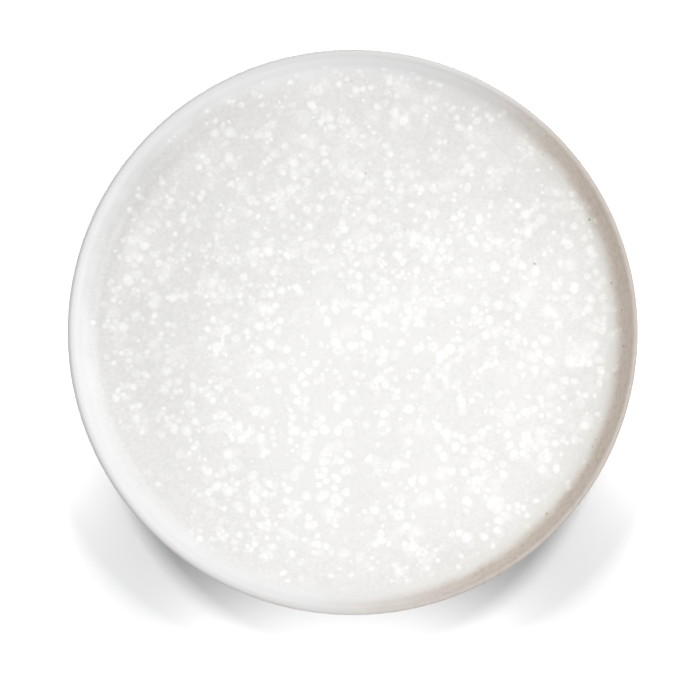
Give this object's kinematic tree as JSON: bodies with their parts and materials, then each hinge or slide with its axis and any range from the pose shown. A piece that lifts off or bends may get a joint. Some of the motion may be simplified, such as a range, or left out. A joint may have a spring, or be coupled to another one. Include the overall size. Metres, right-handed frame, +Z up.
{
  "type": "ceramic plate",
  "caption": "Round ceramic coupe plate with a flat white-speckled well, an upturned wall, a full-round taupe-toned lip and a bare clay foot ring.",
  "frame": {"origin": "on the table, at the centre of the foot ring's standing face", "axes": "+Z up out of the well along the plate's axis; +Y towards the top of the picture, +X to its right"},
  "size_m": [0.27, 0.27, 0.025],
  "materials": {
    "bare_stoneware": "dry, fine-grained fired clay",
    "speckled_white_glaze": "satin white glaze with melted white spatter",
    "taupe_rim_glaze": "satin glaze, thin over warm clay, with a few iron specks",
    "plain_back_glaze": "satin off-white glaze"
  },
  "bodies": {
    "root": {"clay_body": "bare_stoneware", "face_glaze": "speckled_white_glaze", "rim_glaze": "taupe_rim_glaze", "back_glaze": "plain_back_glaze", "foot_recess_glaze": "plain_back_glaze"}
  },
  "joints": []
}
